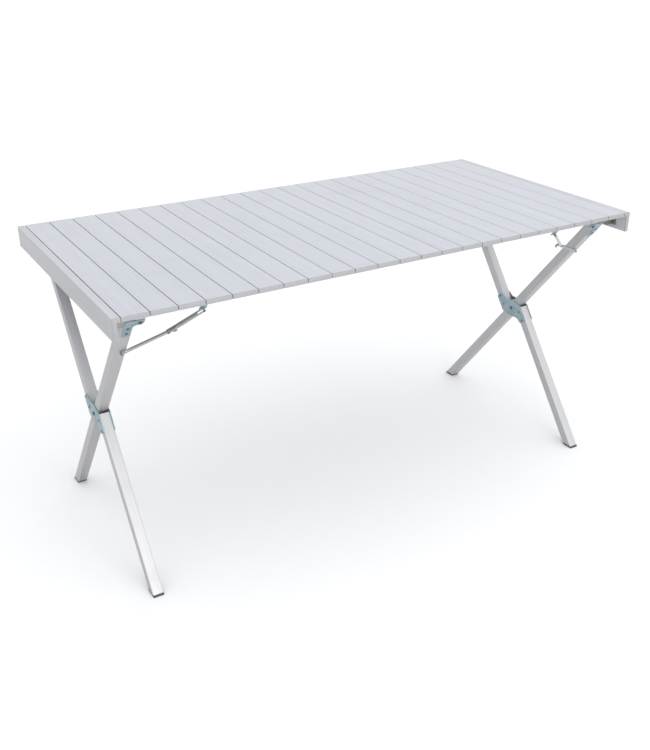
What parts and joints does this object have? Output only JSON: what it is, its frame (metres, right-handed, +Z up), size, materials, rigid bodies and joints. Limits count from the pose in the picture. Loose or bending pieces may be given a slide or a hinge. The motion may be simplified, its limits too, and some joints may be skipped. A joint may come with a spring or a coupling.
{
  "type": "folding slatted table",
  "caption": "Long folding table with a roll-up top of hollow slats on two rails and crossed scissor legs with folding stays.",
  "frame": {"origin": "on the floor, under the middle of the table top", "axes": "+X along the table's length, +Y towards its back, +Z up to the table top"},
  "size_m": [1.397, 0.692, 0.711],
  "materials": {
    "slat_aluminium": "satin anodised, light brushing along the slat",
    "end_rail_aluminium": "satin anodised",
    "frame_aluminium": "satin anodised tube",
    "blue_zinc": "blue-passivated zinc on pressed steel",
    "stay_zinc": "zinc on pressed steel",
    "lug_yellow_zinc": "yellow-passivated zinc",
    "fastener_zinc": "zinc",
    "rail_plug_plastic": "grey moulded plastic",
    "foot_plastic": "black moulded plastic",
    "cord_elastic": "woven elastic cord"
  },
  "bodies": {
    "front_frame": {"front_rail": "frame_aluminium", "front_rail_plugs": "rail_plug_plastic", "straight_leg_left": "frame_aluminium", "straight_leg_right": "frame_aluminium", "back_feet": "foot_plastic", "front_rail_anchors": "blue_zinc", "corner_bracket_front_left": "blue_zinc", "corner_bracket_front_right": "blue_zinc", "stay_lower_front_left": "stay_zinc", "stay_upper_front_left": "stay_zinc", "stay_lower_front_right": "stay_zinc", "stay_upper_front_right": "stay_zinc", "front_frame_fasteners": "fastener_zinc"},
    "back_frame": {"back_rail": "frame_aluminium", "back_rail_plugs": "rail_plug_plastic", "split_leg_upper_left": "frame_aluminium", "split_leg_lower_left": "frame_aluminium", "split_leg_upper_right": "frame_aluminium", "split_leg_lower_right": "frame_aluminium", "cross_plates_left": "blue_zinc", "cross_plates_right": "blue_zinc", "split_leg_plugs": "rail_plug_plastic", "front_feet": "foot_plastic", "pivot_bolts": "fastener_zinc", "back_rail_anchors": "blue_zinc", "corner_bracket_back_left": "blue_zinc", "corner_bracket_back_right": "blue_zinc", "stay_lower_back_left": "stay_zinc", "stay_upper_back_left": "stay_zinc", "stay_lower_back_right": "stay_zinc", "stay_upper_back_right": "stay_zinc", "back_frame_fasteners": "fastener_zinc"},
    "slat_12": {"slat_12": "slat_aluminium", "elastic_cords": "cord_elastic"},
    "slat_01": {"slat_01": "slat_aluminium"},
    "slat_02": {"slat_02": "slat_aluminium"},
    "slat_03": {"slat_03": "slat_aluminium"},
    "slat_04": {"slat_04": "slat_aluminium"},
    "slat_05": {"slat_05": "slat_aluminium"},
    "slat_06": {"slat_06": "slat_aluminium"},
    "slat_07": {"slat_07": "slat_aluminium"},
    "slat_08": {"slat_08": "slat_aluminium"},
    "slat_09": {"slat_09": "slat_aluminium"},
    "slat_10": {"slat_10": "slat_aluminium"},
    "slat_11": {"slat_11": "slat_aluminium"},
    "slat_13": {"slat_13": "slat_aluminium"},
    "slat_14": {"slat_14": "slat_aluminium"},
    "slat_15": {"slat_15": "slat_aluminium"},
    "slat_16": {"slat_16": "slat_aluminium"},
    "slat_17": {"slat_17": "slat_aluminium"},
    "slat_18": {"slat_18": "slat_aluminium"},
    "slat_19": {"slat_19": "slat_aluminium"},
    "slat_20": {"slat_20": "slat_aluminium"},
    "slat_21": {"slat_21": "slat_aluminium"},
    "slat_22": {"slat_22": "slat_aluminium"},
    "slat_23": {"slat_23": "slat_aluminium"},
    "left_end_rail": {"left_end_rail": "end_rail_aluminium", "left_rail_lugs": "lug_yellow_zinc"},
    "right_end_rail": {"right_end_rail": "end_rail_aluminium", "right_rail_lugs": "lug_yellow_zinc"}
  },
  "joints": [
    {"name": "scissor_fold", "type": "hinge", "parent": "front_frame", "child": "back_frame", "pos_m": [0, -0.007, 0.339], "axis": [1, 0, 0], "range_deg": [0, 73]},
    {"name": "top_lift", "type": "slide", "parent": "front_frame", "child": "slat_12", "axis": [0, 0, 1], "range_m": [0, 0.5881]},
    {"name": "roll_right_01", "type": "hinge", "parent": "slat_12", "child": "slat_13", "pos_m": [0.02957, 0, 0.711], "axis": [0, -1, 0], "range_deg": [0, 14], "deforming": ["elastic_cords"]},
    {"name": "roll_right_02", "type": "hinge", "parent": "slat_13", "child": "slat_14", "pos_m": [0.0887, 0, 0.711], "axis": [0, -1, 0], "range_deg": [0, 14], "deforming": ["elastic_cords"]},
    {"name": "roll_right_03", "type": "hinge", "parent": "slat_14", "child": "slat_15", "pos_m": [0.14783, 0, 0.711], "axis": [0, -1, 0], "range_deg": [0, 14], "deforming": ["elastic_cords"]},
    {"name": "roll_right_04", "type": "hinge", "parent": "slat_15", "child": "slat_16", "pos_m": [0.20696, 0, 0.711], "axis": [0, -1, 0], "range_deg": [0, 14], "deforming": ["elastic_cords"]},
    {"name": "roll_right_05", "type": "hinge", "parent": "slat_16", "child": "slat_17", "pos_m": [0.26609, 0, 0.711], "axis": [0, -1, 0], "range_deg": [0, 14], "deforming": ["elastic_cords"]},
    {"name": "roll_right_06", "type": "hinge", "parent": "slat_17", "child": "slat_18", "pos_m": [0.32522, 0, 0.711], "axis": [0, -1, 0], "range_deg": [0, 14], "deforming": ["elastic_cords"]},
    {"name": "roll_right_07", "type": "hinge", "parent": "slat_18", "child": "slat_19", "pos_m": [0.38435, 0, 0.711], "axis": [0, -1, 0], "range_deg": [0, 14], "deforming": ["elastic_cords"]},
    {"name": "roll_right_08", "type": "hinge", "parent": "slat_19", "child": "slat_20", "pos_m": [0.44348, 0, 0.711], "axis": [0, -1, 0], "range_deg": [0, 14], "deforming": ["elastic_cords"]},
    {"name": "roll_right_09", "type": "hinge", "parent": "slat_20", "child": "slat_21", "pos_m": [0.50261, 0, 0.711], "axis": [0, -1, 0], "range_deg": [0, 14], "deforming": ["elastic_cords"]},
    {"name": "roll_right_10", "type": "hinge", "parent": "slat_21", "child": "slat_22", "pos_m": [0.56174, 0, 0.711], "axis": [0, -1, 0], "range_deg": [0, 14], "deforming": ["elastic_cords"]},
    {"name": "roll_right_11", "type": "hinge", "parent": "slat_22", "child": "slat_23", "pos_m": [0.62087, 0, 0.711], "axis": [0, -1, 0], "range_deg": [0, 14], "deforming": ["elastic_cords"]},
    {"name": "roll_right_12", "type": "hinge", "parent": "slat_23", "child": "right_end_rail", "pos_m": [0.68, 0, 0.711], "axis": [0, -1, 0], "range_deg": [0, 14], "deforming": ["elastic_cords"]},
    {"name": "roll_left_01", "type": "hinge", "parent": "slat_12", "child": "slat_11", "pos_m": [-0.02957, 0, 0.711], "axis": [0, 1, 0], "range_deg": [0, 14], "deforming": ["elastic_cords"]},
    {"name": "roll_left_02", "type": "hinge", "parent": "slat_11", "child": "slat_10", "pos_m": [-0.0887, 0, 0.711], "axis": [0, 1, 0], "range_deg": [0, 14], "deforming": ["elastic_cords"]},
    {"name": "roll_left_03", "type": "hinge", "parent": "slat_10", "child": "slat_09", "pos_m": [-0.14783, 0, 0.711], "axis": [0, 1, 0], "range_deg": [0, 14], "deforming": ["elastic_cords"]},
    {"name": "roll_left_04", "type": "hinge", "parent": "slat_09", "child": "slat_08", "pos_m": [-0.20696, 0, 0.711], "axis": [0, 1, 0], "range_deg": [0, 14], "deforming": ["elastic_cords"]},
    {"name": "roll_left_05", "type": "hinge", "parent": "slat_08", "child": "slat_07", "pos_m": [-0.26609, 0, 0.711], "axis": [0, 1, 0], "range_deg": [0, 14], "deforming": ["elastic_cords"]},
    {"name": "roll_left_06", "type": "hinge", "parent": "slat_07", "child": "slat_06", "pos_m": [-0.32522, 0, 0.711], "axis": [0, 1, 0], "range_deg": [0, 14], "deforming": ["elastic_cords"]},
    {"name": "roll_left_07", "type": "hinge", "parent": "slat_06", "child": "slat_05", "pos_m": [-0.38435, 0, 0.711], "axis": [0, 1, 0], "range_deg": [0, 14], "deforming": ["elastic_cords"]},
    {"name": "roll_left_08", "type": "hinge", "parent": "slat_05", "child": "slat_04", "pos_m": [-0.44348, 0, 0.711], "axis": [0, 1, 0], "range_deg": [0, 14], "deforming": ["elastic_cords"]},
    {"name": "roll_left_09", "type": "hinge", "parent": "slat_04", "child": "slat_03", "pos_m": [-0.50261, 0, 0.711], "axis": [0, 1, 0], "range_deg": [0, 14], "deforming": ["elastic_cords"]},
    {"name": "roll_left_10", "type": "hinge", "parent": "slat_03", "child": "slat_02", "pos_m": [-0.56174, 0, 0.711], "axis": [0, 1, 0], "range_deg": [0, 14], "deforming": ["elastic_cords"]},
    {"name": "roll_left_11", "type": "hinge", "parent": "slat_02", "child": "slat_01", "pos_m": [-0.62087, 0, 0.711], "axis": [0, 1, 0], "range_deg": [0, 14], "deforming": ["elastic_cords"]},
    {"name": "roll_left_12", "type": "hinge", "parent": "slat_01", "child": "left_end_rail", "pos_m": [-0.68, 0, 0.711], "axis": [0, 1, 0], "range_deg": [0, 14], "deforming": ["elastic_cords"]}
  ],
  "couplings": [
    {"joint": "top_lift", "follows": "scissor_fold", "m_per_rad": 0.46}
  ]
}
